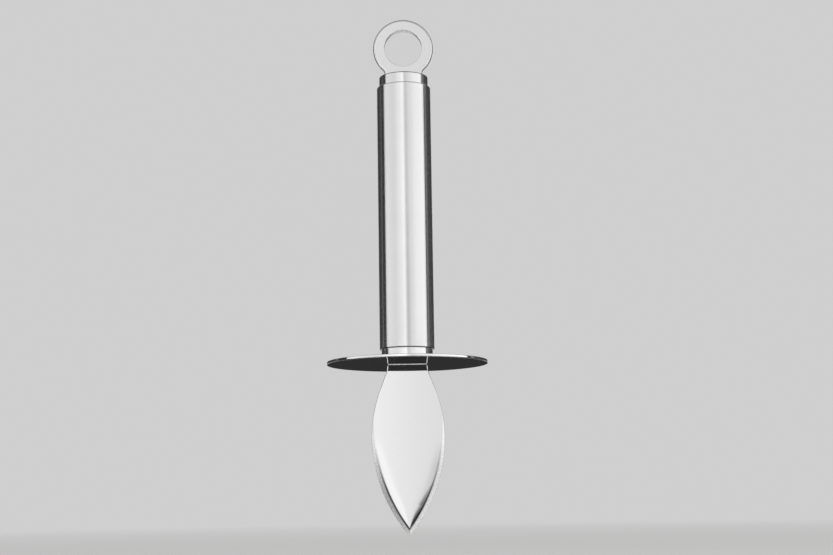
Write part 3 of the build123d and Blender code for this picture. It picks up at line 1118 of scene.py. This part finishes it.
def flag_surface(name, radii, angles, heights, ramps, rows=24, columns=96):
    """A flag from one angle to the other whose radius and height go from the first to the last.

    Each point is marked with how much it covers.
    """
    angle = np.radians(np.linspace(*angles, columns))
    radius = np.linspace(*radii, rows)[:, None]
    height = np.linspace(*heights, rows)[:, None]
    points = np.stack([radius * np.sin(angle), -radius * np.cos(angle), height + 0 * angle], axis=-1)
    index = np.arange(rows * columns).reshape(rows, columns)
    quads = np.stack([index[:-1, :-1], index[:-1, 1:], index[1:, 1:], index[1:, :-1]], axis=-1)
    flag = stage_object(name, points.reshape(-1, 3), quads.reshape(-1, 4))
    cover = coming_in(rows, *ramps[:2])[:, None] * coming_in(columns, *ramps[2:])
    cover = cover.astype(np.float32).reshape(-1)
    flag.data.attributes.new("cover", "FLOAT", "POINT").data.foreach_set("value", cover)
    return flag


def floor_disc(name, radii, columns=96):
    """A flat ring or disc of the floor: rows of points at each radius round the knife."""
    angle = np.linspace(0, 2 * np.pi, columns, endpoint=False)
    height = BLADE_LOW.z - bpy.context.scene.studio.floor_drop
    points = np.concatenate([
        np.stack([radius * np.cos(angle), radius * np.sin(angle), np.full(columns, height)], axis=-1)
        for radius in radii])
    index = np.arange(columns * len(radii)).reshape(len(radii), columns)
    beside = np.roll(index, -1, axis=1)
    quads = np.stack([index[:-1], index[1:], beside[1:], beside[:-1]], axis=-1).reshape(-1, 4)
    return stage_object(name, points, quads)


def make_flag(name, radii, angles, heights, radiance, ramps):
    """A flag that only reflections show, with a plain radiance or one by degrees round the knife."""
    flag = flag_surface(name, radii, angles, heights, ramps)
    material, tree, output = new_material(name)
    level = (radiance, radiance, radiance, 1)
    if isinstance(radiance, tuple):
        level = level_ramp(tree, azimuth_share(tree, object_place(tree)), turn_stops(radiance))
    glow = add_node(tree, "Emission", {"Color": level, "Strength": 1.0})
    cover = add_node(tree, "Attribute", attribute_name="cover").outputs["Fac"]
    clear = add_node(tree, "BsdfTransparent")
    mixed = add_node(tree, "MixShader", {0: cover, 1: clear.outputs[0], 2: glow.outputs[0]})
    tree.links.new(mixed.outputs[0], output.inputs["Surface"])
    flag.data.materials.append(material)
    for ray in ("camera", "diffuse", "shadow", "transmission"):
        setattr(flag, "visible_" + ray, False)


# The floor's radii in metres, near the knife and far from it, and where its far part melts away
NEAR_FLOOR = (0.0, 0.3, 0.6)
FAR_FLOOR = (0.6, 1.2, 2.5, 5.0, 8.0)
MELT_START = 1.0
MELT_END = 4.0
# The soft lamps: degrees to the right of the front, and degrees up
LAMPS = {"lamp_left": (-50, 50), "lamp_right": (50, 50)}


def make_floor(studio):
    """A plain pale floor whose far part melts into the studio's own brightness."""
    material, tree, output = new_material("floor")
    place = object_place(tree)
    speckle = remap(tree, noise(tree, place, 40.0, 4.0), 0.3, 0.7, 0.985, 1.0)
    matte = add_node(tree, "BsdfDiffuse", {"Color": tint(tree, (*studio.floor_color, 1), speckle)})
    back = BACKDROP * BRIGHTEST
    glow = add_node(tree, "Emission", {"Color": (back, back, back, 1), "Strength": 1.0})
    distance = add_node(tree, "VectorMath", {0: place}, operation="LENGTH").outputs["Value"]
    far = remap(tree, distance, MELT_START, MELT_END, 0.0, 1.0)
    mixed = add_node(tree, "MixShader", {0: far, 1: matte.outputs[0], 2: glow.outputs[0]})
    tree.links.new(mixed.outputs[0], output.inputs["Surface"])
    near = floor_disc("floor_near", NEAR_FLOOR)
    wide = floor_disc("floor_far", FAR_FLOOR)
    wide.visible_glossy = False
    for part in (near, wide):
        part.data.materials.append(material)


def soft_lamp(name, azimuth, elevation, studio):
    """A square area lamp that faces the knife from an azimuth and an elevation in degrees."""
    data = bpy.data.lights.new(name, "AREA")
    data.shape = "SQUARE"
    data.size = studio.lamp_size
    data.energy = studio.lamp_power
    lamp = bpy.data.objects.new(name, data)
    turn, rise = math.radians(azimuth), math.radians(elevation)
    away = Vector((math.sin(turn) * math.cos(rise), -math.cos(turn) * math.cos(rise), math.sin(rise)))
    middle = Vector((0, 0, (RING_HIGH.z + BLADE_LOW.z) / 2))
    lamp.location = middle + away * studio.lamp_distance
    lamp.rotation_euler = (-away).to_track_quat("-Z", "Y").to_euler()
    lamp.visible_glossy = False
    bpy.context.scene.collection.objects.link(lamp)


def make_camera(studio):
    """The photograph's camera.

    Its right and up axes are turned by the roll round the line of sight. It stands back from
    the guard's underside by the distance, and to the side so that the underside's centre
    falls on its pixel.
    """
    pitch, roll = studio.camera_pitch, studio.camera_roll
    ahead = Vector((0, math.cos(pitch), math.sin(pitch)))
    level_right = Vector((1, 0, 0))
    level_up = Vector((0, -math.sin(pitch), math.cos(pitch)))
    right = level_right * math.cos(roll) - level_up * math.sin(roll)
    up = level_right * math.sin(roll) + level_up * math.cos(roll)
    scale = studio.camera_distance / studio.focal_pixels
    aside = (studio.guard_pixel_x - FRAME_WIDTH / 2) * scale
    above = (FRAME_HEIGHT / 2 - studio.guard_pixel_y) * scale
    target = Vector((0, 0, GUARD_LOW.z))
    data = bpy.data.cameras.new("camera")
    data.sensor_fit = "HORIZONTAL"
    data.lens = studio.focal_pixels * data.sensor_width / FRAME_WIDTH
    data.clip_start = 0.01
    camera = bpy.data.objects.new("camera", data)
    axes = Matrix((right, up, -ahead)).transposed()
    place = target - ahead * studio.camera_distance - right * aside - up * above
    camera.matrix_world = Matrix.Translation(place) @ axes.to_4x4()
    bpy.context.scene.collection.objects.link(camera)
    bpy.context.scene.camera = camera


class MakeStage(bpy.types.Operator):
    """Makes the pale floor, the studio's light, its dark flags and the camera."""

    bl_idname = "oyster_knife.make_stage"
    bl_label = "Stage and camera"

    def execute(self, context):
        scene = context.scene
        studio = scene.studio
        studio_world(scene)
        make_floor(studio)
        for name, shape in FLAGS.items():
            make_flag(name, *shape)
        for name, angles in LAMPS.items():
            soft_lamp(name, *angles, studio)
        make_camera(studio)
        scene.view_settings.view_transform = "Standard"
        return {"FINISHED"}


OPERATORS = (MakeRing, MakeCollars, MakeTube, MakeGuard, MakeBlade, FinishPins, MakeStage)


class KnifePanel(bpy.types.Panel):
    """Lists the steps that dress the knife and set its stage."""

    bl_idname = "VIEW3D_PT_oyster_knife"
    bl_label = "Oyster Knife"
    bl_space_type = "VIEW_3D"
    bl_region_type = "UI"
    bl_category = "Oyster Knife"

    def draw(self, context):
        for operator in OPERATORS:
            self.layout.operator(operator.bl_idname)


GROUPS = {
    "knife_sizes": KnifeSizes,
    "blade_shape": BladeShape,
    "knife_finish": KnifeFinish,
    "studio": StudioSettings,
}
CLASSES = (*GROUPS.values(), *OPERATORS, KnifePanel)


def register():
    for item in CLASSES:
        bpy.utils.register_class(item)
    for name, group in GROUPS.items():
        setattr(bpy.types.Scene, name, PointerProperty(type=group))


def unregister():
    for name in GROUPS:
        delattr(bpy.types.Scene, name)
    for item in reversed(CLASSES):
        bpy.utils.unregister_class(item)


def main():
    register()
    bpy.ops.oyster_knife.make_ring()
    bpy.ops.oyster_knife.make_collars()
    bpy.ops.oyster_knife.make_tube()
    bpy.ops.oyster_knife.make_guard()
    bpy.ops.oyster_knife.make_blade()
    bpy.ops.oyster_knife.finish_pins()
    bpy.ops.oyster_knife.make_stage()


if __name__ == "__main__":
    main()
